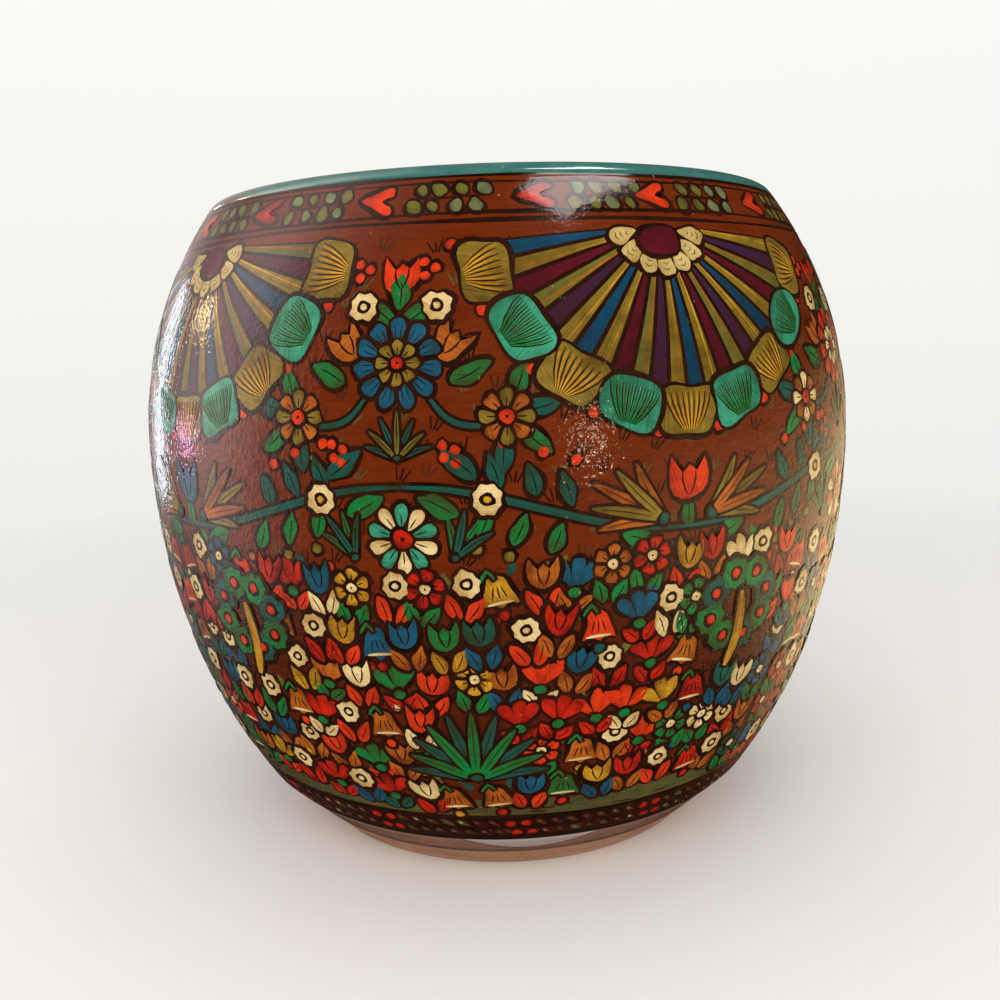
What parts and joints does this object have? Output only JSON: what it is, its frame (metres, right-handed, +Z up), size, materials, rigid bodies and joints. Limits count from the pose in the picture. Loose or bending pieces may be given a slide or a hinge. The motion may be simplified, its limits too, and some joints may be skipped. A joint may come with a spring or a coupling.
{
  "type": "planter",
  "caption": "Round-bellied hand-built clay planter with a wide mouth, rounded lip, foot ring and drain hole, painted and varnished outside; holds soil and a plant.",
  "frame": {"origin": "on the table, at the middle of the foot ring", "axes": "+Z up along the pot's axis; +X and +Y lie on the table"},
  "size_m": [0.24, 0.24, 0.2105],
  "materials": {
    "raw_clay": "unglazed fired clay, dry and slightly gritty",
    "painted_clay": "red-brown ground colour with brushed ornament under glossy varnish",
    "rim_paint": "blue-green brushed paint under glossy varnish"
  },
  "bodies": {
    "root": {"foot_ring": "raw_clay", "floor_slab": "raw_clay", "lower_bowl": "painted_clay", "belly_course": "painted_clay", "shoulder_course": "painted_clay", "rim_coil": "rim_paint"}
  },
  "joints": []
}
